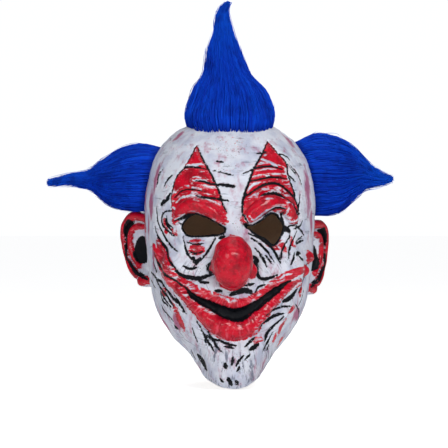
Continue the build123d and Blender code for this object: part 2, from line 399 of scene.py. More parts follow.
def sculpt():
    """The whole skin as clay, and its outer form before it is hollowed and opened."""
    clay = head_clay()
    cavity = Clay(clay.axes, np.minimum(clay.d + WALL, DEEPEST))

    for x, z, size in CHEEKS:
        clay.ball((x, face_y(x, z) + 9, z), (size, 15, size), 12)
    clay.ball(*MUZZLE, 10)
    clay.ball(*CHIN, 10)
    for x in EYE_HOLLOW_X:
        clay.ball((x, -107, 1), (23, 8, 11), 6, cut=True)
    clay.ball(*BROW_DIP, 8, cut=True)
    clay.tube(on_face(BRIDGE, 2), 7)

    for brow in (LEFT_BROW, RIGHT_BROW):
        clay.tube(on_face(brow, -2.5), 1.5)
    for lid in (LEFT_LID, RIGHT_LID):
        clay.tube(on_face(lid, 1), 3)

    clay.ball(*NOSE, 1.5)
    for x, z, _ in NOSE_WINGS:
        clay.ball((x, -106.5, z), (6, 7.5, 8), 4)
    for lip, sink in ((UPPER_LIP, -1.5), (LOWER_LIP, -0.5)):
        clay.tube(on_face(lip, sink), 2)
    clay.tube(on_face(MOUTH, -5), 2.5, cut=True)
    for x, z, size in GRIN_LUMPS:
        clay.ball((x, face_y(x, z) + 1, z), (size, size, size * 0.9), 3)

    for side in EAR_PLACES:
        origin, out, _ = ear_axes(side)
        ends = np.array([origin - 12 * out, origin + 46 * out])
        clay.add(ear_form(side), ends.min(axis=0) - (10, 10, 40), ends.max(axis=0) + (10, 10, 38), 3)

    form = Clay(clay.axes, clay.d)
    (x, y, z), radii = NOSE
    cavity.ball((x, y + 3, z), np.subtract(radii, WALL), 2)
    inner = smooth_max(cavity.d, clay.d + LEAST_WALL, 2)
    clay.d = smooth_max(clay.d, -inner, 1.2).astype(np.float32)
    open_holes(clay)
    return clay, form


def open_holes(clay):
    """Cuts the eye holes, the nostrils and the trimmed neck edge."""
    for outline in (LEFT_EYE, RIGHT_EYE):
        edge = closed_spline(outline)
        low, high = edge.min(axis=0), edge.max(axis=0)

        def form(x, y, z, edge=edge):
            flat = outline_distance(*np.broadcast_arrays(x[:, 0], z[:, 0]), edge)
            return np.broadcast_to(flat[:, None, :], np.broadcast_shapes(x.shape, y.shape, z.shape))

        clay.cut(form, (low[0] - 2, -135, low[1] - 2), (high[0] + 2, -55, high[1] + 2), 1.2)
    (nose_x, nose_y, _), _ = NOSE
    for side in (-1, 1):
        x = nose_x + side * NOSTRIL_X
        path = np.array([(x, nose_y, -70, NOSTRIL_RADIUS), (x, nose_y, -50, NOSTRIL_RADIUS)])
        clay.tube(path, 0.8, cut=True)

    where = clay.around((-200, RIM_EDGE[0, 0], -200), (200, RIM_EDGE[-1, 0], -100))
    x, y, z = clay.grid(where)
    height = hermite(y, RIM_EDGE[:, 0], RIM_EDGE[:, 1])
    trimmed = height + 1.2 * np.sin(y * 0.35 + x * 0.05) + 0.7 * np.sin(y * 0.9 + 2)
    clay.d[where] = smooth_max(clay.d[where], (trimmed - z) * 0.8, 1.0)


def to_mesh(clay):
    """The clay's surface as points and quads."""
    volume = openvdb.FloatGrid(DEEPEST)
    volume.copyFromArray(np.ascontiguousarray(clay.d))
    points, _, quads = volume.convertToPolygons(0.0, 0.0)
    return np.array(points, float) * VOXEL + np.array([axis[0] for axis in clay.axes]), np.array(quads)


def largest_part(points, quads):
    """Keeps the biggest connected surface."""
    label = np.arange(len(points))
    while True:
        lowest = label[quads].min(axis=1)
        new = label.copy()
        for i in range(4):
            np.minimum.at(new, quads[:, i], lowest)
        new = new[new]
        if (new == label).all():
            break
        label = new
    names, counts = np.unique(label, return_counts=True)
    keep = label == names[counts.argmax()]
    renumber = np.cumsum(keep) - 1
    return points[keep], renumber[quads[keep[quads].all(axis=1)]]


def new_object(name, points, faces):
    """A smooth-shaded mesh object from millimetre points."""
    mesh = bpy.data.meshes.new(name)
    mesh.vertices.add(len(points))
    mesh.vertices.foreach_set("co", (points * MM).ravel())
    sides = faces.shape[1]
    mesh.loops.add(faces.size)
    mesh.loops.foreach_set("vertex_index", faces.ravel())
    mesh.polygons.add(len(faces))
    mesh.polygons.foreach_set("loop_start", np.arange(0, faces.size, sides))
    mesh.polygons.foreach_set("use_smooth", np.ones(len(faces), bool))
    mesh.update(calc_edges=True)
    mesh.validate()
    obj = bpy.data.objects.new(name, mesh)
    bpy.context.scene.collection.objects.link(obj)
    return obj


def give(obj, name, values):
    """Stores one number per vertex for a material to read."""
    layer = obj.data.attributes.new(name, "FLOAT", "POINT")
    layer.data.foreach_set("value", np.asarray(values, np.float32))


# ---------------------------------------------------------------- paint

GIRTH = 95.0  # radius at which turns about the head are measured as lengths
FAR = 9.0  # a distance that counts as nowhere near paint
LIP_GROWTH = 1.0  # how far the red goes past the lips' own radius
BROW_GROWTH = 0.5
NOSE_GROWTH = 2.6
EYE_LINE = 1.9  # ink round the eye holes
NOSE_GAP = 1.5  # no strokes nearer the nose than this
PAINTED_TO_Y = 20.0  # strokes and red end here, behind the temples
FAN_Z = -52.0  # height that the brush marks on the lips fan out from
FAN_RADIUS = 45.0  # radius at which their turns are measured as lengths

LEFT_DIAMOND = (
    (-35, 82), (-30, 69), (-21, 52), (-14, 35), (-9, 20), (-6, 15), (-14, 10), (-40, 14), (-58, 8),
    (-60, 20), (-60, 34), (-56, 49), (-49, 58), (-40, 72),
)
RIGHT_DIAMOND = (
    (36, 87), (28, 71), (20, 57), (13, 38), (9, 22), (10, 11), (15, 6), (36, 18), (60, 6), (65, 14),
    (64, 23), (60, 38), (55, 52), (53, 65), (45, 75),
)
# Ink strokes: X, Z points seen from the front, greatest width, depth of the crease under it
STROKES = (
    # left of the forehead
    (((-35, 82), (-30, 69), (-21, 52), (-14, 35), (-10, 23), (-6, 15)), 1.3, 0.5),
    (((-35, 82), (-40, 72), (-44, 65)), 1.0, 0.4),
    (((-44, 65), (-49, 58), (-56, 49), (-60, 34), (-60, 20)), 0.9, 0.3),
    (((-53, 55), (-46, 60), (-36, 60), (-25, 58)), 1.3, 1.0),
    (((-38, 47), (-30, 46), (-19, 43), (1, 40)), 1.6, 1.2), (((-14, 43), (-4, 41.5), (2, 41)), 2.6, 0.6),
    (((-37, 32), (-28, 30), (-17, 29), (-4, 27)), 1.6, 1.2),
    (((-20, 57), (-12, 55), (-5, 53), (0, 52)), 1.1, 0.7), (((-17, 66), (-9, 65)), 1.3, 0.5),
    (((-58, 30), (-50, 37), (-40, 38), (-28, 36)), 1.0, 0.9), (((-59, 53), (-64, 48), (-68, 41)), 1.6, 0.7),
    (((-69, 59), (-73, 50), (-75, 41)), 1.0, 0.5), (((-61, 35), (-65, 29), (-70, 22)), 2.2, 0.7),
    (((-74, 45), (-73, 53), (-68, 59)), 1.2, 0.6), (((-71, 23), (-68, 26), (-63, 29)), 3.0, 1.0),
    # right of the forehead
    (((36, 87), (28, 71), (20, 57), (13, 38), (9, 22), (10, 11), (15, 3)), 1.5, 0.5),
    (((36, 87), (45, 75), (53, 65), (55, 52), (60, 38), (64, 23), (65, 10)), 1.4, 0.5),
    (((10, 54), (26, 60), (38, 61), (50, 58)), 1.3, 1.0), (((16, 46), (38, 50), (54, 49)), 1.4, 1.1),
    (((12, 31), (22, 38), (32, 43), (43, 44), (54, 38), (62, 29), (66, 20)), 1.9, 1.5),
    (((27, 32), (35, 34), (43, 34), (51, 29), (60, 23), (66, 10)), 2.2, 1.5),
    (((24, 74), (34, 76)), 1.2, 0.5), (((46, 74), (54, 72), (58, 68)), 1.4, 0.5),
    (((54, 53), (63, 46)), 1.2, 0.5), (((58, 62), (66, 52), (70, 42)), 1.0, 0.5),
    (((54, 64), (59, 58), (63, 53)), 1.0, 0.5),
    # left eye
    (((-59, 17), (-67, 16), (-70, 10), (-69, 3), (-63, -4), (-57, -8)), 1.8, 0.9),
    (((-65, 12), (-64, 5), (-59, 0)), 1.4, 0.6), (((-45, -14), (-37, -16), (-29, -15)), 1.2, 0.5),
    (((-75, 21), (-74, 10), (-71, -1), (-63, -15), (-53, -23)), 1.6, 0.7),
    (((-66, 10), (-65, 4), (-60, -3)), 1.6, 0.7), (((-56, 6), (-47, 10), (-42, 13), (-35, 13)), 1.8, 0.7),
    (((-26, 9), (-19, 4), (-11, -1)), 2.4, 0.8), (((-15, -5), (-9, -2), (-9, 1)), 2.6, 0.9),
    (((-52, 4), (-48, 1), (-48, -4)), 2.8, 0.9), (((-14, -10), (-8, -8)), 2.4, 0.8),
    # right eye
    (((62, 3), (68, -2), (72, -8)), 1.6, 0.7), (((70, 8), (67, 2), (60, -1)), 1.5, 0.7),
    (((62, -14), (69, -8)), 1.2, 0.5), (((11, 4), (16, 2), (24, 4)), 2.4, 0.8),
    (((12, 2), (19, -3), (29, -10), (38, -16)), 2.2, 0.8),
    (((47, 15), (49, 4), (49, -3), (45, -10)), 3.0, 1.0), (((48, 1), (57, -3)), 4.6, 1.4),
    (((29, 12), (34, 17), (40, 20), (47, 19)), 1.6, 0.7), (((55, 2), (63, 5), (66, 15)), 1.8, 0.7),
    (((68, 34), (66, 23), (64, 11)), 1.2, 0.6), (((64, -15), (71, -12)), 1.6, 0.7),
    (((69, -12), (63, -16)), 1.6, 0.7),
    # left cheek
    (((-76, 2), (-74, -8), (-66, -20), (-57, -33), (-51, -42)), 1.6, 1.0),
    (((-49, -7), (-47, -18), (-43, -27), (-36, -35)), 1.5, 0.7),
    (((-17, -9), (-22, -18), (-29, -28), (-38, -37)), 1.5, 0.7),
    (((-44, -22), (-37, -25), (-30, -23)), 1.2, 0.5),
    (((-53, -42), (-47, -47), (-35, -49), (-26, -47), (-19, -44)), 3.2, 1.6),
    (((-79, -33), (-74, -46), (-68, -57), (-60, -66)), 2.0, 0.9),
    (((-84, -40), (-81, -52), (-76, -60)), 1.4, 0.6),
    (((-75, -4), (-71, -12), (-64, -20), (-60, -30)), 1.4, 0.6),
    (((-78, -22), (-73, -33), (-63, -44), (-53, -52), (-43, -60)), 2.2, 0.8),
    (((-81, -44), (-75, -50), (-69, -54)), 2.0, 0.8), (((-47, -37), (-41, -40), (-35, -38)), 2.0, 0.8),
    (((-39, -28), (-37, -33), (-32, -29)), 2.6, 0.9),
    # right cheek
    (((15, -5), (26, -10), (35, -17), (41, -24), (45, -33)), 2.2, 0.9),
    (((16, -9), (26, -16), (34, -24), (41, -34)), 1.4, 0.7),
    (((57, -4), (54, -10), (49, -19), (46, -28), (45, -35)), 1.5, 0.7),
    (((64, -2), (59, -12), (54, -22), (52, -30)), 1.3, 0.6),
    (((20, -31), (24, -36), (23, -44), (27, -49), (34, -49), (43, -46)), 2.6, 1.6),
    (((61, -25), (63, -30), (68, -32), (66, -37)), 2.0, 0.8),
    (((76, -34), (73, -45), (69, -56), (66, -64)), 2.2, 0.8), (((53, -36), (58, -24)), 1.5, 0.6),
    (((59, -27), (62, -24), (66, -25)), 2.4, 0.8), (((31, -26), (39, -36)), 1.3, 0.6),
    (((26, -27), (34, -39)), 1.2, 0.6),
    # nose and upper lip
    (((20, -18), (27, -26), (32, -34)), 1.2, 0.6), (((-21, -32), (-25, -38), (-23, -45)), 1.8, 1.0),
    (((-17, -61), (-11, -61)), 2.6, 0.6), (((-3, -65), (1, -63), (7, -61), (13, -61), (17, -64)), 4.2, 0.9),
    (((10, -56), (19, -54)), 1.8, 0.5), (((20, -63), (23, -57), (30, -55)), 1.4, 0.5),
    (((20, -27), (23, -32), (22, -37)), 3.0, 1.0), (((-21, -35), (-23, -41), (-19, -46)), 3.0, 1.0),
    # left of the jaw
    (((-35, -50), (-29, -53), (-23, -53)), 2.2, 0.7), (((-57, -66), (-52, -74), (-49, -82)), 1.2, 0.6),
    (((-72, -62), (-66, -71), (-60, -78)), 1.6, 0.7), (((-40, -120), (-34, -130)), 1.4, 0.5),
    (((-76, -50), (-71, -59), (-63, -69), (-58, -77)), 2.4, 0.8),
    (((-72, -62), (-69, -71), (-63, -77)), 1.6, 0.7), (((-58, -96), (-54, -100)), 2.6, 0.9),
    (((-44, -60), (-37, -66), (-29, -72), (-18, -78)), 2.8, 0.9),
    (((-70, -76), (-66, -84), (-58, -92)), 1.4, 0.6),
    (((-70, -54), (-62, -65), (-52, -75), (-46, -84)), 2.2, 0.8),
    (((-36, -90), (-29, -103), (-22, -116)), 1.0, 0.5), (((-40, -97), (-35, -112)), 0.9, 0.5),
    # right of the jaw
    (((25, -97), (31, -91), (42, -85), (50, -84)), 2.6, 1.0),
    (((31, -111), (33, -103), (41, -95), (50, -87)), 2.2, 1.0),
    (((30, -85), (39, -80), (48, -77), (58, -77)), 1.6, 0.8),
    (((49, -72), (54, -70), (60, -66), (64, -60)), 3.8, 1.0), (((33, -121), (35, -114)), 1.8, 0.6),
    (((29, -121), (33, -112), (39, -102)), 1.4, 0.6), (((72, -60), (70, -70), (66, -78)), 1.3, 0.6),
    (((62, -74), (67, -84), (64, -96)), 1.4, 0.5),
    # chin
    (((11, -115), (21, -106)), 1.8, 0.7), (((16, -118), (20, -116), (25, -113)), 3.6, 0.8),
    (((-16, -108), (-8, -112), (2, -114)), 1.8, 1.0), (((-20, -108), (-17, -115), (-12, -120)), 1.3, 0.6),
    (((-26, -106), (-22, -114), (-19, -121)), 1.3, 0.6), (((-32, -96), (-28, -106), (-26, -114)), 1.0, 0.5),
    (((-1, -124), (-2, -133)), 1.6, 0.5), (((10, -123), (4, -129), (2, -134)), 1.6, 0.5),
    (((16, -122), (10, -128)), 1.0, 0.4), (((-9, -131), (-8, -136)), 2.6, 0.5),
    (((5, -134), (3, -139)), 1.4, 0.4), (((-6, -145), (-4, -149), (-2, -154)), 2.6, 0.6),
    (((2, -148), (4, -153)), 2.4, 0.5), (((-13, -146), (-10, -150)), 1.6, 0.4),
    (((-34, -125), (-29, -131), (-25, -139)), 5.0, 0.9),
    (((-25, -100), (-21, -108), (-17, -112)), 1.6, 0.6),
    (((-28, -103), (-22, -107), (-14, -110)), 1.4, 0.6),
    (((-22, -105), (-16, -116), (-10, -121)), 1.3, 0.6), (((-9, -115), (1, -117)), 1.4, 0.6),
)
# Lines where the red is left off and the white shows: X, Z points, greatest width
BARE_STROKES = (
    (((-56, 25), (-51, 30), (-45, 31), (-36, 32), (-27, 29), (-20, 26), (-13, 23)), 1.9),
    (((-40, 47), (-31, 47), (-24, 45)), 1.8), (((-48, 42), (-40, 40), (-30, 38)), 1.3),
    (((-46, 61), (-38, 62), (-30, 63)), 2.2), (((-54, 8), (-50, 10), (-45, 14)), 1.5),
    (((-21, 7), (-15, 3), (-11, 6)), 1.4), (((28, 68), (36, 65), (44, 61)), 2.2),
    (((19, 50), (27, 52), (36, 51)), 1.3), (((14, 36), (19, 42), (27, 45)), 1.7),
    (((25, 30), (31, 33), (39, 36), (47, 35)), 1.5),
    (((14, 12), (18, 8), (24, 12), (29, 17), (38, 21), (47, 20)), 1.4),
    (((49, 19), (51, 9), (57, 7), (62, 11)), 1.3), (((9, 15), (12, 7), (17, 4)), 1.8),
    (((51, 58), (55, 49), (59, 42)), 1.6),
    (((-80, -36), (-75, -43), (-70, -52), (-63, -62), (-57, -71), (-49, -81)), 1.3),
    (((-32, -54), (-31, -60)), 1.5), (((-21, -59), (-19, -65)), 1.2), (((-7, -67), (-4, -72)), 1.6),
    (((44, -50), (49, -46), (54, -45)), 1.2),
)
# Red dabs: X, Z, half width, half height, tilt in degrees
RED_DABS = (
    (-36, -21, 8, 6, 5), (-36, -12, 7, 1.6, 0), (36, -16, 9, 3, -35), (48, -17, 3.5, 7, 15),
    (58, -14, 3, 6, 25), (-66, 1, 3, 8, 10), (-58, -4, 5, 2.5, -40), (-70, -22, 6, 14, 35),
    (-60, -32, 4, 12, 40), (-68, -64, 4.5, 5, -30), (-56, -79, 3, 8, 35), (-51, -92, 4, 10, 25),
    (48, -97, 3, 8, -20), (41, -108, 2.5, 6, -15), (58, -80, 6, 2.5, 30), (24, -109, 5, 3, 30),
    (68, -62, 3, 7, -10), (76, -29, 6, 7, 0), (70, -42, 7, 6.5, 0), (63, -54, 5, 5, 0),
    (70, -88, 4, 7, -30), (-40, -128, 5, 6, 30), (47, -113, 4, 6, -30),
)
# Fine spatter: X, Z, half width, half height
SPATTERS = (
    (-2, 82, 26, 17), (-34, 76, 9, 9), (-6, 60, 18, 9), (8, -128, 12, 12), (-38, -38, 12, 9),
    (-10, -42, 12, 8), (-50, -100, 14, 16), (58, -30, 12, 18), (2, 5, 8, 10), (-62, 40, 8, 16),
)
# Soft bruise-red airbrushing: turn about the head in degrees from the face, Z, half turn, half height
BRUISES = (
    (-55, 93, 6, 8), (57, 87, 6, 9), (55, 36, 6, 32), (60, 6, 5, 18), (-56, 50, 4, 18), (-60, 24, 5, 22),
    (-66, 2, 4, 16), (-75, 30, 6, 22), (-58, -26, 3, 18), (-88, -8, 7, 14), (78, 42, 5, 18),
    (84, -6, 6, 14), (-34, -92, 5, 12), (44, -86, 7, 9), (-140, 40, 18, 34), (150, 66, 20, 26),
    (172, -30, 20, 38), (-160, -90, 18, 26), (118, -75, 14, 30), (-115, -60, 14, 34), (132, 5, 14, 30),
    (58, -98, 6, 10), (-60, -95, 6, 10),
)


def unrolled(x, y, z):
    """A point's place on the unrolled head: length round it from the middle of the face, and height."""
    return np.arctan2(x, -y) * GIRTH, z


def unroll(line):
    """A line of front-view X, Z points, unrolled."""
    x, z = line.T
    return np.column_stack(unrolled(x, face_y(x, z), z))


def stroke_distance(u, v, points, width):
    """Distance to a brush stroke, thick in its middle and thin at its ends, and distance to its line."""
    path = unroll(spline_points(points, 4))
    ink = np.full(len(u), FAR)
    line = np.full(len(u), FAR)
    (low_u, low_v), (high_u, high_v) = path.min(axis=0) - FAR, path.max(axis=0) + FAR
    index = np.flatnonzero((u > low_u) & (u < high_u) & (v > low_v) & (v < high_v))
    for i, (a, b) in enumerate(zip(path, path[1:])):
        span = b - a
        t = np.clip(((u[index] - a[0]) * span[0] + (v[index] - a[1]) * span[1]) / (span @ span), 0, 1)
        away = np.hypot(u[index] - a[0] - t * span[0], v[index] - a[1] - t * span[1])
        half = width * (0.22 + 0.40 * np.sin(math.pi * (i + t) / (len(path) - 1)) ** 0.7) + 0.1
        ink[index] = np.minimum(ink[index], away - half)
        line[index] = np.minimum(line[index], away)
    return ink, line


def dab_distance(u, v, centre, size, tilt):
    """About the distance to a tilted oval."""
    turn = math.radians(tilt)
    du, dv = u - centre[0], v - centre[1]
    a = (du * math.cos(turn) + dv * math.sin(turn)) / size[0]
    b = (dv * math.cos(turn) - du * math.sin(turn)) / size[1]
    return (np.hypot(a, b) - 1) * min(size)


def lip_distance(u, v, path, grow):
    """Distance to a painted lip on the unrolled head."""
    p = spline_points(path)
    return path_distance((u, v), np.column_stack([unroll(p[:, :2]), p[:, 2] + grow]))


def ink_strokes(u, v, where):
    """Distance to the nearest ink stroke, and how far the creases under the strokes push the skin in."""
    ink = np.full(len(u), FAR)
    push = np.zeros(len(u))
    for path, width, depth in STROKES:
        stroke, line = stroke_distance(u, v, path, width)
        use = where & (stroke < FAR - 1)
        ink[use] = np.minimum(ink[use], stroke[use])
        groove = np.exp(-(line / (0.7 * width + 0.5)) ** 2)
        swell = 0.45 * np.exp(-((line - width - 1.4) / (0.6 * width + 0.8)) ** 2)
        push += np.where(use, depth * (groove - swell), 0)
    return ink, push


def red_shapes(u, v):
    """Distance to the nearest red diamond, brow, lip or dab."""
    diamonds = (unroll(closed_spline(outline, 3)) for outline in (LEFT_DIAMOND, RIGHT_DIAMOND))
    shapes = [outline_distance(u, v, diamond) for diamond in diamonds]
    shapes += [lip_distance(u, v, brow, BROW_GROWTH) for brow in (LEFT_BROW, RIGHT_BROW)]
    shapes += [lip_distance(u, v, lip, LIP_GROWTH) for lip in (UPPER_LIP, LOWER_LIP)]
    for x, z, wide, high, tilt in RED_DABS:
        shapes.append(dab_distance(u, v, unrolled(x, face_y(x, z), z), (wide, high), tilt))
    return np.minimum(np.minimum.reduce(shapes), FAR)


def paint_face(points, outer):
    """Ink, red, bare and bruise values for every point, and how far creases push it in."""
    u, v = unrolled(*points.T)
    front = outer & (points[:, 1] < PAINTED_TO_Y)
    nose = nose_distance(points)
    drawn = front & (nose > NOSE_GAP)
    ink, push = ink_strokes(u, v, drawn)
    ink = np.where(drawn, np.minimum(ink, lip_distance(u, v, MOUTH, 0.5)), ink)
    for outline in (LEFT_EYE, RIGHT_EYE):
        rim = outline_distance(points[:, 0], points[:, 2], closed_spline(outline, 3))
        ink = np.where((points[:, 1] < -60) & (rim < 3), np.minimum(ink, rim - EYE_LINE), ink)

    bare = np.full(len(points), FAR)
    for path, width in BARE_STROKES:
        bare = np.minimum(bare, stroke_distance(u, v, path, width)[0])
    bare = np.where(front, bare, FAR)

    red = np.full(len(points), FAR)
    red[front] = red_shapes(u[front], v[front])
    red = np.where(outer, np.minimum(red, nose - NOSE_GROWTH), red)

    bruise = np.zeros(len(points))
    for turn, z, half_turn, half_height in BRUISES:
        away = (u / GIRTH * 180 / math.pi - turn + 180) % 360 - 180
        bruise = np.maximum(bruise, 1 - np.hypot(away / half_turn, (v - z) / half_height))
    bruise = np.clip(bruise, 0, 1) * (1 - 0.72 * ramp(points[:, 1], -20, 40)) * outer
    return ink, red, bare, bruise, push


def mouth_flow(points):
    """How much each point is on a lip, and its place round the grin and away from it."""
    u, v = unrolled(*points.T)
    lips = np.minimum(lip_distance(u, v, UPPER_LIP, LIP_GROWTH), lip_distance(u, v, LOWER_LIP, LIP_GROWTH))
    across, down = u * 0.8, v - FAN_Z
    streams = np.column_stack([np.arctan2(across, -down) * FAN_RADIUS, np.hypot(across, down)])
    return ramp(-lips, -2.5, -0.5) * (points[:, 1] < -40), streams


def on_brows(points):
    """How much each point is on a brow's roll."""
    u, v = unrolled(*points.T)
    away = np.minimum(lip_distance(u, v, LEFT_BROW, 0), lip_distance(u, v, RIGHT_BROW, 0))
    return ramp(-away, 0, 2) * (points[:, 1] < -60)


def nose_distance(points):
    """About the distance to the ball of the nose."""
    centre, radii = NOSE
    scaled = (points - np.array(centre)) / np.array(radii)
    ball = (np.linalg.norm(scaled, axis=1) - 1) * min(radii)
    for x, z, radius in NOSE_WINGS:
        ball = np.minimum(ball, np.linalg.norm(points - (x, -110, z), axis=1) - radius)
    return ball


def paint_ears(points, ink, red):
    """The ears' red rims, folds and lobes, and the black grooves and bowls between them."""
    for side in EAR_PLACES:
        u, v, w = in_ear(side, *points.T)
        face = (side * points[:, 0] > 76) & (u > -6) & (u < 50) & (np.abs(v) < 44) & (w > -5)
        a, b = u[face], v[face]
        rim, fold, lobe, groove = (path_distance((a, b), ear_path(path, 0)[:, [0, 1, 3]])
                                   for path in (EAR_RIM, EAR_FOLD, EAR_LOBE, EAR_GROOVE))
        red[face] = np.minimum(red[face], np.minimum.reduce([rim - 0.2, fold - 0.4, lobe + 0.4]))
        bowl = dab_distance(a, b, BOWL_PAINT[:2], BOWL_PAINT[2:], 0)
        ink[face] = np.minimum(ink[face], np.minimum(groove, bowl))


def build_skin():
    """The painted latex skin as one mesh."""
    clay, form = sculpt()
    points, quads = largest_part(*to_mesh(clay))
    depth = form.sample(points)
    outer = depth > -1.2
    out = clay.slope(points)

    ink, red, bare, bruise, push = paint_face(points, outer)
    paint_ears(points, ink, red)
    nose = nose_distance(points)
    lips, streams = mouth_flow(points)
    x, y, z = points.T

    def noise(size, seed):
        return value_noise(points, size, seed)

    lumps = noise(26, 1) * 0.7 + noise(11, 2) * 0.5 + noise(5, 3) * 0.28
    pebbles = noise(3.6, 4) * 0.5 + noise(8, 5) * 0.9
    combed = np.sin(x * 2.4 + z * 1.9 + noise(9, 8) * 4) * 0.3
    wrinkles = np.sin(streams[:, 0] * 0.9 + noise(8, 6) * 5) * 0.22 + noise(6, 7) * 0.75
    facing = np.clip(-out[:, 1], 0, 1)
    sunk = 1.25 * np.tanh(1.3 * push * (0.3 + 0.7 * facing))
    lift = np.where(nose < 1, pebbles, lumps + wrinkles * lips + combed * on_brows(points)) - sunk
    spots = np.zeros(len(points))
    for spot_x, spot_z, wide, high in SPATTERS:
        spots = np.maximum(spots, 1 - np.hypot((x - spot_x) / wide, (z - spot_z) / high))

    obj = new_object("latex_skin", points + out * (lift * outer)[:, None], quads[:, ::-1])
    give(obj, "ink", np.clip(ink, -6, 6))
    give(obj, "red", np.clip(red, -6, 6))
    give(obj, "bare", np.clip(bare, -6, 6))
    give(obj, "bruise", bruise)
    give(obj, "inside", ramp(-depth, 1.0, 1.6) * (ink > -0.4))
    give(obj, "crease", np.clip(push, -1, 2))
    give(obj, "nose", ramp(-nose, -4, -2))
    give(obj, "lips", lips)
    give(obj, "low", ramp(-z, 22, 45))
    give(obj, "chin", ramp(-z - 0.5 * np.abs(x), 92, 108))
    give(obj, "spatter", np.clip(spots, 0, 1) * (y < -20))
    flow = np.column_stack([streams, np.zeros(len(points))]).astype(np.float32)
    obj.data.attributes.new("flow", "FLOAT_VECTOR", "POINT").data.foreach_set("vector", flow.ravel())
    return obj


# ---------------------------------------------------------------- materials

class Wire:
    """A node's output, which adds, subtracts and multiplies like a number."""

    def __init__(self, shader, socket):
        self.shader = shader
        self.socket = socket

    def __add__(self, other):
        return self.shader.math("ADD", self, other)

    def __sub__(self, other):
        return self.shader.math("SUBTRACT", self, other)

    def __rsub__(self, other):
        return self.shader.math("SUBTRACT", other, self)

    def __mul__(self, other):
        return self.shader.math("MULTIPLY", self, other)

    def step(self, low, high):
        """0 at low to 1 at high, whichever is greater."""
        node = self.shader.node("MapRange", Value=self)
        node.interpolation_type = "SMOOTHSTEP"
        ends = ((low, 0.0), (high, 1.0))
        for name, (at, value) in zip(("Min", "Max"), sorted(ends)):
            node.inputs["From " + name].default_value = at
            node.inputs["To " + name].default_value = value
        return Wire(self.shader, node.outputs["Result"])


class Shader:
    """Short calls for building one material's nodes."""

    def __init__(self, name):
        self.material = bpy.data.materials.new(name)
        self.material.use_nodes = True
        self.tree = self.material.node_tree
        self.surface = self.tree.nodes["Principled BSDF"]

    def put(self, socket, value):
        """Links an output to a socket, or sets the socket."""
        if isinstance(value, Wire):
            self.tree.links.new(value.socket, socket)
        else:
            socket.default_value = value

    def node(self, kind, **inputs):
        """A new node, with its inputs linked or set by name."""
        node = self.tree.nodes.new("ShaderNode" + kind)
        for name, value in inputs.items():
            self.put(node.inputs[name], value)
        return node

    def math(self, operation, a, b):
        node = self.node("Math")
        node.operation = operation
        self.put(node.inputs[0], a)
        self.put(node.inputs[1], b)
        return Wire(self, node.outputs[0])

    def highest(self, a, b):
        return self.math("MAXIMUM", a, b)

    def attribute(self, name, output="Fac"):
        node = self.node("Attribute")
        node.attribute_name = name
        return Wire(self, node.outputs[output])

    def stretched(self, vector, scale):
        return Wire(self, self.node("Mapping", Vector=vector, Scale=scale).outputs["Vector"])

    def position(self, scale=(1, 1, 1)):
        """The place on the object in metres, stretched."""
        return self.stretched(Wire(self, self.node("TexCoord").outputs["Object"]), scale)

    def flow(self, scale):
        """The place round and away from the grin, in millimetres, stretched."""
        return self.stretched(self.attribute("flow", "Vector"), scale)

    def noise(self, scale, stretch=(1, 1, 1), detail=3.0, rough=0.5, at=None):
        place = at or self.position(stretch)
        node = self.node("TexNoise", Vector=place, Scale=scale, Detail=detail, Roughness=rough)
        return Wire(self, node.outputs["Fac"])

    def mix(self, amount, a, b):
        """From colour a to colour b."""
        node = self.node("Mix")
        node.data_type = "RGBA"
        for index, value in ((0, amount), (6, a), (7, b)):
            self.put(node.inputs[index], value)
        return Wire(self, node.outputs[2])

    def mix_value(self, amount, a, b):
        """From number a to number b."""
        node = self.node("Mix")
        for index, value in ((0, amount), (2, a), (3, b)):
            self.put(node.inputs[index], value)
        return Wire(self, node.outputs[0])

    def bump(self, height, distance, strength=1.0, onto=None):
        node = self.node("Bump", Height=height, Distance=distance, Strength=strength)
        if onto is not None:
            self.put(node.inputs["Normal"], onto)
        return Wire(self, node.outputs["Normal"])

    def set(self, name, value):
        self.put(self.surface.inputs[name], value)


WHITE = (0.74, 0.77, 0.86, 1)
SHADED_WHITE = (0.53, 0.56, 0.70, 1)
GRIME = (0.16, 0.18, 0.25, 1)
RED = (0.64, 0.0, 0.020, 1)
DEEP_RED = (0.33, 0.0, 0.012, 1)
WORN_RED = (0.84, 0.10, 0.16, 1)
INK = (0.006, 0.007, 0.010, 1)
MAUVE = (0.42, 0.09, 0.20, 1)
RAW_LATEX = (0.70, 0.55, 0.42, 1)
AGED_LATEX = (0.58, 0.44, 0.32, 1)
FUR_SHADE = (0.0, 0.030, 0.50, 1)
FUR_LIGHT = (0.001, 0.085, 0.80, 1)
# painted light: a paler tint for the tips of the pile
FUR_TIP_LIGHT = (0.001, 0.125, 0.84, 1)
# painted shade: a darker tint for the roots of the pile
FUR_ROOT_SHADE = (0.0, 0.022, 0.36, 1)
FUR_PATCHES = (0.0, 0.020, 0.36, 1)
KNIT_SHADE = (0.004, 0.03, 0.20, 1)
KNIT_LIGHT = (0.01, 0.09, 0.45, 1)
GLUE_AMBER = (0.74, 0.62, 0.38, 1)
GLUE_CLOUD = (0.88, 0.82, 0.66, 1)
PAPER = ((0.90, 0.90, 0.91, 1), (0.93, 0.93, 0.94, 1))


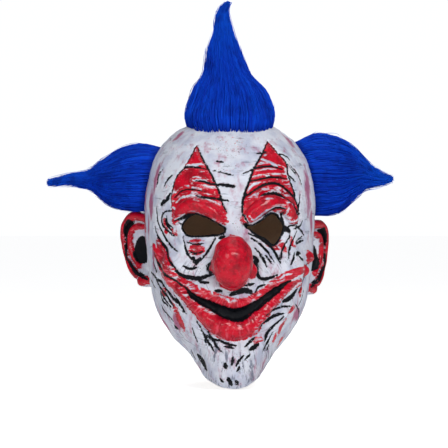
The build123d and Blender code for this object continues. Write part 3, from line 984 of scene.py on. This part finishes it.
def worn_white(s, low):
    """White paint with shaded clouds, grime along the folds and soft red airbrushing."""
    white = s.mix(s.noise(55, detail=4).step(0.42, 0.72), WHITE, SHADED_WHITE)
    rings = s.noise(1.0, detail=4, rough=0.7, at=s.flow((0.05, 0.62, 1))).step(0.53, 0.66)
    bands = s.noise(260, (0.16, 0.16, 1), detail=4, rough=0.7).step(0.57, 0.70)
    hairs = s.noise(1.0, detail=4, rough=0.7, at=s.flow((0.55, 0.05, 1))).step(0.50, 0.60)
    rings = s.mix_value(s.attribute("chin"), rings, hairs)
    grime = s.highest(rings * low, bands * (1.0 - low))
    white = s.mix(grime * (s.noise(34, detail=2).step(0.38, 0.60) * 0.6 + 0.30), white, GRIME)
    uneven = (s.noise(120, (1, 1, 0.45), detail=4, rough=0.65) - 0.5) * 1.9
    return s.mix((s.attribute("bruise") + uneven).step(0.0, 0.55) * 0.88, white, MAUVE)


def worn_red(s, fringe, lips):
    """Red paint, darker in clouds and paler where it is scuffed or dragged out thin."""
    colour = s.mix(s.noise(120, detail=5, rough=0.65).step(0.42, 0.66), RED, DEEP_RED)
    scuffs = s.noise(330, (1, 1, 1.6), detail=4, rough=0.7).step(0.60, 0.70) * 0.50
    return s.mix(s.highest(scuffs, fringe.step(0.02, 0.14) * 0.55 * lips), colour, WORN_RED)


def painted_latex():
    """White latex with brushed red and black paint over its cast creases."""
    s = Shader("painted_latex")
    ink, red, nose, lips, low = (s.attribute(name) for name in ("ink", "red", "nose", "lips", "low"))
    off_nose = 1.0 - nose
    wobble = s.noise(420, detail=4) - 0.5
    grain = s.noise(150, (1, 1, 2.5), detail=5, rough=0.7) - 0.5
    fringe = s.noise(1.0, detail=3, rough=0.65, at=s.flow((0.42, 0.07, 1))) - 0.5

    # red, left off along bare lines and rubbed from the creases' edges
    red_mask = (red + s.mix_value(lips, grain, fringe) * 6.5).step(0.4, -0.4)
    drag = s.mix_value(lips, s.noise(240, (0.8, 0.8, 3.2), detail=5, rough=0.75), fringe + 0.44)
    worn = drag.step(0.60, 0.67) * red.step(-4.8, -0.5)
    crease = s.attribute("crease").step(-0.12, -0.42)
    crease = crease * s.noise(190, (0.5, 0.5, 1.6), detail=4, rough=0.65).step(0.49, 0.61)
    bare = (s.attribute("bare") + s.mix_value(0.5, wobble, grain) * 5.0).step(0.3, -0.3)
    rubbed = s.highest(s.highest(crease, worn), bare) * off_nose
    colour = s.mix(red_mask * (1.0 - rubbed), worn_white(s, low), worn_red(s, fringe, lips))

    # ink, with dry gaps in its edges, and spatters of red and black
    spatter = s.attribute("spatter")
    dry = s.highest(s.noise(300, (1, 1, 0.5), detail=4, rough=0.7).step(0.70, 0.62), ink.step(-1.0, -1.7))
    ink_mask = (ink + wobble * 2.6).step(0.35, -0.10) * dry
    flecks = s.noise(330, (1, 1, 0.35), detail=5, rough=0.8).step(0.645, 0.68)
    flecks = flecks * s.noise(28, detail=2).step(0.50, 0.62)
    specks = s.noise(700, detail=2, rough=0.6).step(0.64, 0.67) * spatter.step(0.05, 0.5)
    ink_mask = s.highest(ink_mask, s.highest(flecks, specks) * off_nose * 0.85)
    red_specks = s.noise(560, (1, 1, 0.9), detail=2).step(0.66, 0.69) * spatter.step(0.1, 0.6)
    colour = s.mix(red_specks * 0.7, colour, RED)
    colour = s.mix(ink_mask, colour, INK)
    raw = s.mix(s.noise(40, detail=4), RAW_LATEX, AGED_LATEX)
    s.set("Base Color", s.mix(s.attribute("inside"), colour, raw))

    s.set("Roughness", 0.52 - red_mask * 0.20 + s.noise(200) * 0.12 - nose * 0.08)
    s.set("Specular IOR Level", 0.11)
    s.set("Subsurface Weight", 0.06)
    s.set("Subsurface Radius", (0.006, 0.003, 0.002))
    s.set("Subsurface Scale", 0.5)
    s.set("Coat Weight", (red_mask - ink_mask) * 0.50)
    s.set("Coat Roughness", 0.18)
    brushed = s.bump(s.noise(260, (1, 1, 0.6), detail=5, rough=0.65), 0.0010, 0.6)
    pebbled = s.bump(s.noise(420, detail=2), 0.0007, 0.45, onto=brushed)
    wrinkled = s.bump(s.noise(330, detail=3, rough=0.6) * nose, 0.0016, 0.7, onto=pebbled)
    s.set("Normal", s.bump(s.highest(red_mask, ink_mask), 0.00025, 0.6, onto=wrinkled))
    return s.material


def blue_fur():
    """Royal-blue acrylic pile with each strand a little different, painted darker at its roots as shade and
    paler at its tips as light.
    """
    s = Shader("blue_fur")
    along = s.attribute("along")
    body = s.mix(s.attribute("strand"), FUR_SHADE, FUR_LIGHT)
    # painted light: the tips are made paler, as if lit through the thin ends of the pile
    body = s.mix(along.step(0.45, 1.0) * 0.6, body, FUR_TIP_LIGHT)
    # painted shade: the roots are made darker, as if in the shadow of the pile over them
    body = s.mix(along.step(0.07, 0.0), body, FUR_ROOT_SHADE)
    s.set("Base Color", s.mix(s.noise(70, detail=3).step(0.50, 0.68) * 0.55, body, FUR_PATCHES))
    s.set("Roughness", s.noise(500) * 0.2 + 0.50)
    s.set("Specular IOR Level", 0.12)
    s.set("Sheen Weight", 0.04)
    s.set("Sheen Roughness", 0.5)
    s.set("Sheen Tint", (0.1, 0.5, 1.0, 1))
    return s.material


def knitted_backing():
    """Blue knitted cloth that the pile stands on."""
    s = Shader("knitted_backing")
    wave = s.node("TexWave", Vector=s.position(), Scale=160, Distortion=2.5)
    loops = Wire(s, wave.outputs["Fac"])
    s.set("Base Color", s.mix(loops, KNIT_SHADE, KNIT_LIGHT))
    s.set("Roughness", s.noise(300) * 0.2 + 0.7)
    s.set("Normal", s.bump(loops, 0.0004))
    return s.material


def hot_melt_glue():
    """Cloudy amber glue."""
    s = Shader("hot_melt_glue")
    cloud = s.noise(120, detail=4)
    s.set("Base Color", s.mix(cloud, GLUE_AMBER, GLUE_CLOUD))
    s.set("Roughness", cloud * 0.2 + 0.22)
    s.set("Normal", s.bump(s.noise(90), 0.0006))
    return s.material


# ---------------------------------------------------------------- fur

# Sections along each tuft's axis: distance along, middle across, middle up, radius across, radius up
TUFTS = {
    "top": {
        "origin": (0, 0, 0), "along": (0, 0, 1), "across": (1, 0, 0), "strands": 6400, "squared": 1.4,
        "sections": (
            (86, 0, -11, 38, 51), (96, 0, -11, 39.5, 50), (104, 0, -8, 42.5, 49), (112, 0, -5, 45.3, 48),
            (121, 0, -2, 44.5, 44), (131, 0.3, 0, 41.5, 40), (144, -1, 0, 34.5, 33.5),
            (155, -2.5, 0, 24.5, 25), (166, -3.8, 0, 20.3, 21), (184, -6.2, 0, 15, 15.5),
            (200, -6, 0, 9, 10), (214, -7, 0, 6.2, 6.5), (224, -6, 0, 4, 4), (230, -1.5, 0, 1.2, 1.2),
        ),
    },
    "left": {
        "origin": (0, 6, 52), "along": (-1, 0, 0), "across": (0, -1, 0), "strands": 4400, "squared": 0.2,
        "sections": (
            (62, 0, 0, 26, 27), (72, 0, 0, 28.5, 29.5), (82, 0, -0.3, 32.5, 33.3),
            (95, 0, -0.8, 33.5, 34.2), (108, 0, -1.6, 30.5, 31.8), (119, 0, -3, 26, 27.2),
            (126, 0, -3.6, 22, 22.8), (132, 0, -2.5, 17.5, 18.3), (140, 0, -2.6, 10.3, 10.6),
            (152, 0, -2.6, 6.8, 6.8), (164, 0, -2.6, 4.6, 4.6), (178, 0, -5.2, 2.6, 2.6),
            (185, 0, -5.8, 1, 1),
        ),
    },
    "right": {
        "origin": (0, 6, 52), "along": (1, 0, 0), "across": (0, 1, 0), "strands": 4600, "squared": 0.2,
        "sections": (
            (60, 0, 0, 29, 31), (70, 0, 1, 32, 34.5), (78, 0, 2.3, 35.5, 38.5), (94, 0, 2.6, 38.5, 42),
            (104, 0, 2.2, 37, 40.5), (115, 0, 2.6, 33.5, 36.8), (125, 0, 3.8, 27, 28.8),
            (131, 0, 3.6, 22.5, 23.3), (139, 0, 3.2, 15, 15.6), (147, 0, 0.4, 9.6, 10),
            (155, 0, -1.2, 6.4, 6.7), (162, 0, -1.8, 3.6, 3.7), (167, 0, -1.6, 1, 1),
        ),
    },
}
STRAND_KNOTS = 11
STRANDS_TO_CLUMP = 14
CLUMP_PULL = 0.42  # share of the way that a strand's tip leans to the middle of its clump
INNER_SHARE = 0.45  # share of the strands that start part of the way along the tuft
STRAY_SHARE = 0.2  # share of the strands whose tips stand off the others
CORE_SHARE = 0.92  # radius of the dense core within the tuft
CORE_AROUND = 120
CORE_ROWS = 60
CORE_RIDGES = (7, 13, 23, 41)  # waves of each kind round the core


def tuft_place(tuft, reach, share, turn):
    """A point at a distance along the tuft, a share of the way out from its middle, at a turn round it."""
    table = np.array(tuft["sections"], float)
    middle_u, middle_v, radius_u, radius_v = (hermite(reach, table[:, 0], table[:, i]) for i in range(1, 5))
    origin, along, across = (np.array(tuft[name], float) for name in ("origin", "along", "across"))
    up = np.cross(along, across)
    power = 2 + tuft["squared"] * ramp(-reach, -table[5, 0], -table[1, 0])
    share = share * (np.abs(np.cos(turn)) ** power + np.abs(np.sin(turn)) ** power) ** (-1 / power)
    u = middle_u + radius_u * share * np.cos(turn)
    v = middle_v + radius_v * share * np.sin(turn)
    return origin + reach[..., None] * along + u[..., None] * across + v[..., None] * up


def skin_reach(tuft, share, turn):
    """How far along the tuft's axis the skin lies under each root, found by halving."""
    low, high = np.full(len(share), 30.0), np.full(len(share), 125.0)
    for _ in range(18):
        middle = (low + high) / 2
        x, y, z = tuft_place(tuft, middle, share, turn).T
        outside = (head_share(x, y, z) > 1) | (z > CROWN_Z)
        high = np.where(outside, middle, high)
        low = np.where(outside, low, middle)
    return high


def comb(tuft, seed):
    """Every strand's points, with its random tint and the places along it."""
    rng = np.random.default_rng(seed)
    count = tuft["strands"]
    clumps = count // STRANDS_TO_CLUMP
    clump_share = np.sqrt(rng.uniform(0.05, 1, clumps))
    clump_turn = rng.uniform(0, 2 * math.pi, clumps)
    clump_x, clump_y = clump_share * np.cos(clump_turn), clump_share * np.sin(clump_turn)
    share = 1 - 0.5 * rng.random(count) ** 1.8
    turn = rng.uniform(0, 2 * math.pi, count)
    x, y = (share * np.cos(turn))[:, None], (share * np.sin(turn))[:, None]
    owner = np.hypot(x - clump_x, y - clump_y).argmin(axis=1)
    far = tuft["sections"][-1][0]
    root = skin_reach(tuft, share, turn) + 0.5
    start = np.where(rng.random(count) < INNER_SHARE, rng.random(count) ** 1.5 * 0.6, 0) * (far - root)
    length = (far - root) * np.clip(rng.normal(0.50, 0.2, count) + 0.1 * (1 - share), 0.16, 1.0)
    length *= 0.85 + 0.15 * rng.random(clumps)[owner]

    t = np.linspace(0, 1, STRAND_KNOTS)[None]
    reach = (root + start)[:, None] + length[:, None] * t
    pull = CLUMP_PULL * t ** 1.3
    x, y = x + (clump_x[owner][:, None] - x) * pull, y + (clump_y[owner][:, None] - y) * pull
    stray = (rng.random(count) < STRAY_SHARE)[:, None] * rng.uniform(1.0, 3.4, (count, 1)) * t ** 1.5
    level = np.minimum(reach, far)
    place = tuft_place(tuft, level, np.hypot(x, y), np.arctan2(y, x))
    outward = unit(place - tuft_place(tuft, level, np.zeros_like(x), x))
    fringe = ((share > 0.8) * (start == 0) * rng.uniform(0.5, 2.4, count))[:, None]
    fringe = fringe * np.exp(-t * length[:, None] / 6)
    place += outward * (stray + 0.35 * fringe)[..., None] - np.array(tuft["along"]) * fringe[..., None]
    wave = rng.normal(0, 1, (count, 1, 3))
    wave = wave * np.sin(t * rng.uniform(3, 9, (count, 1)) + rng.uniform(0, 6, (count, 1)))[..., None]
    place += wave * (0.9 * t ** 0.7)[..., None] * np.minimum(1, length / 40)[:, None, None]
    tint = np.clip(0.75 * rng.random(count) + 0.25 * rng.random(clumps)[owner], 0, 1)
    along_pile = np.clip((level - root[:, None]) / (far - root)[:, None], 0, 1)
    return place, tint, t, along_pile


def ring_quads(number):
    """Quads between rings of numbered points. The last axis runs round a ring, the one before it along."""
    a, b = number[..., :-1, :], number[..., 1:, :]
    return np.stack([a, np.roll(a, -1, axis=-1), np.roll(b, -1, axis=-1), b], axis=-1).reshape(-1, 4)


def tuft_mesh(name, tuft, seed):
    """A tuft's strands as three-sided tapering tubes over a dense core."""
    place, tint, t, along_pile = comb(tuft, seed)
    count, knots, _ = place.shape
    forward = unit(np.gradient(place, axis=1))
    side = unit(np.cross(forward, np.array(tuft["across"], float) + 0.01))
    other = np.cross(forward, side)
    rng = np.random.default_rng(seed + 100)
    thick = rng.uniform(0.30, 0.52, (count, 1)) * (1 - 0.85 * t ** 2.2)
    rings = np.stack([place + thick[..., None] * (math.cos(a) * side + math.sin(a) * other)
                      for a in (0, 2 * math.pi / 3, 4 * math.pi / 3)], axis=2)
    number = np.arange(count * knots * 3).reshape(count, knots, 3)
    strand = np.broadcast_to(tint[:, None, None], number.shape).ravel()
    along = np.broadcast_to(along_pile[..., None], number.shape).ravel()

    core_points, core_quads, core_along = core(tuft, seed)
    quads = np.vstack([ring_quads(number), core_quads + number.size])
    obj = new_object(name, np.vstack([rings.reshape(-1, 3), core_points]), quads)
    # the core's tint of 0.25 lies towards FUR_SHADE: painted shade for the inside of the tuft
    give(obj, "strand", np.concatenate([strand, np.full(len(core_points), 0.25)]))
    give(obj, "along", np.concatenate([along, core_along]))
    return obj


def core(tuft, seed):
    """The dense inside of the tuft, ridged lengthwise like combed pile."""
    far = tuft["sections"][-1][0]
    turn = np.linspace(0, 2 * math.pi, CORE_AROUND, endpoint=False)[None]
    rng = np.random.default_rng(seed + 200)
    root = skin_reach(tuft, np.full(CORE_AROUND, 0.93), turn[0])
    t = np.linspace(0, 1, CORE_ROWS)[:, None] ** 0.9
    reach = root[None] + 0.6 + (far - 12 - root[None]) * t
    ridges = sum(rng.uniform(0.006, 0.012) * np.sin(turn * k + rng.uniform(0, 6) + 3 * t)
                 for k in CORE_RIDGES)
    share = (CORE_SHARE + ridges) * (1 - 0.97 * t ** 12)
    points = tuft_place(tuft, reach, share, np.broadcast_to(turn, reach.shape)).reshape(-1, 3)
    number = np.arange(CORE_AROUND * CORE_ROWS).reshape(CORE_ROWS, CORE_AROUND)
    return points, ring_quads(number), np.repeat(t[:, 0], CORE_AROUND)


# ---------------------------------------------------------------- assembly

FUR_SEED = 11

skin = build_skin()
skin.data.materials.append(painted_latex())
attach(skin, "mask")
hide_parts("latex_shell")

fur_material = blue_fur()
for seed, side in enumerate(SIDES):
    tuft = TUFTS[side]
    fur = tuft_mesh(f"fur_tuft_{side}", tuft, seed + FUR_SEED)
    fur.data.materials.append(fur_material)
    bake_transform(fur)
    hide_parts(f"fur_root_{side}", f"fur_tip_{side}")

for kind, material in (("fur_backing", knitted_backing()), ("glue_bed", hot_melt_glue())):
    for side in SIDES:
        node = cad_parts[f"{kind}_{side}"]
        for slot in node.material_slots:
            slot.material = material


# ---------------------------------------------------------------- stage, light and camera

VIEW_AZIMUTH = -2.0
VIEW_DISTANCE = 2.4
VIEW_WIDTH = 0.457  # metres across the picture at the middle of the mask
AIM = Vector((-0.0056, 0.0, 0.0041))  # the camera looks at this point
SENSOR = 36.0
FLOOR_HALF = 30000.0  # millimetres
FLOOR_STRENGTHS = (0.80, 0.18)  # seen by the camera, cast as light
WORLD_STRENGTHS = (1.05, 0.20)
WORLD_COLOUR = (0.95, 0.97, 1.0, 1)
LIGHTS = (  # name, place, width, power
    ("key", (0.6, -1.8, 1.0), 0.65, 19), ("fill", (-1.0, -1.8, 0.5), 0.7, 7),
    ("above", (0.0, -0.2, 1.7), 1.2, 5), ("behind", (0.3, 2.2, 1.0), 1.2, 9),
)


def seen_and_cast(tree, seen, cast):
    """A strength that is one value straight from the camera and another for the light it casts."""
    path = tree.nodes.new("ShaderNodeLightPath")
    scale = tree.nodes.new("ShaderNodeMath")
    scale.operation = "MULTIPLY_ADD"
    tree.links.new(path.outputs["Is Camera Ray"], scale.inputs[0])
    scale.inputs[1].default_value = seen - cast
    scale.inputs[2].default_value = cast
    return scale.outputs[0]


def stage():
    """A wide pale floor."""
    floor_z = (cad_box[0][2] - 0.001) / MM
    square = ((-1, -1), (1, -1), (1, 1), (-1, 1))
    points = np.array([(x * FLOOR_HALF, y * FLOOR_HALF, floor_z) for x, y in square])
    floor = new_object("floor", points, np.array([(0, 1, 2, 3)]))
    s = Shader("pale_paper")
    s.set("Base Color", s.mix(s.noise(3), *PAPER))
    s.set("Roughness", 0.9)
    s.set("Specular IOR Level", 0.1)
    s.set("Emission Color", (1, 1, 1, 1))
    s.set("Emission Strength", Wire(s, seen_and_cast(s.tree, *FLOOR_STRENGTHS)))
    floor.data.materials.append(s.material)


def area_light(name, place, width, power):
    """A soft square light that points at the mask."""
    data = bpy.data.lights.new(name, "AREA")
    data.shape = "RECTANGLE"
    data.size = data.size_y = width
    data.energy = power
    light = bpy.data.objects.new(name, data)
    light.location = place
    light.rotation_euler = (-Vector(place)).to_track_quat("-Z", "Y").to_euler()
    bpy.context.scene.collection.objects.link(light)


stage()
for light in LIGHTS:
    area_light(*light)

world = bpy.data.worlds.new("studio")
world.use_nodes = True
background = world.node_tree.nodes["Background"]
background.inputs["Color"].default_value = WORLD_COLOUR
world.node_tree.links.new(seen_and_cast(world.node_tree, *WORLD_STRENGTHS), background.inputs["Strength"])
bpy.context.scene.world = world
bpy.context.scene.view_settings.view_transform = "Standard"

turn = math.radians(VIEW_AZIMUTH)
camera_data = bpy.data.cameras.new("camera")
camera_data.sensor_width = SENSOR
camera_data.lens = SENSOR * VIEW_DISTANCE / VIEW_WIDTH
camera_data.clip_end = 50.0
camera = bpy.data.objects.new("camera", camera_data)
camera.location = AIM + Vector((math.sin(turn), -math.cos(turn), 0)) * VIEW_DISTANCE
camera.rotation_euler = (AIM - camera.location).to_track_quat("-Z", "Y").to_euler()
bpy.context.scene.collection.objects.link(camera)
bpy.context.scene.camera = camera
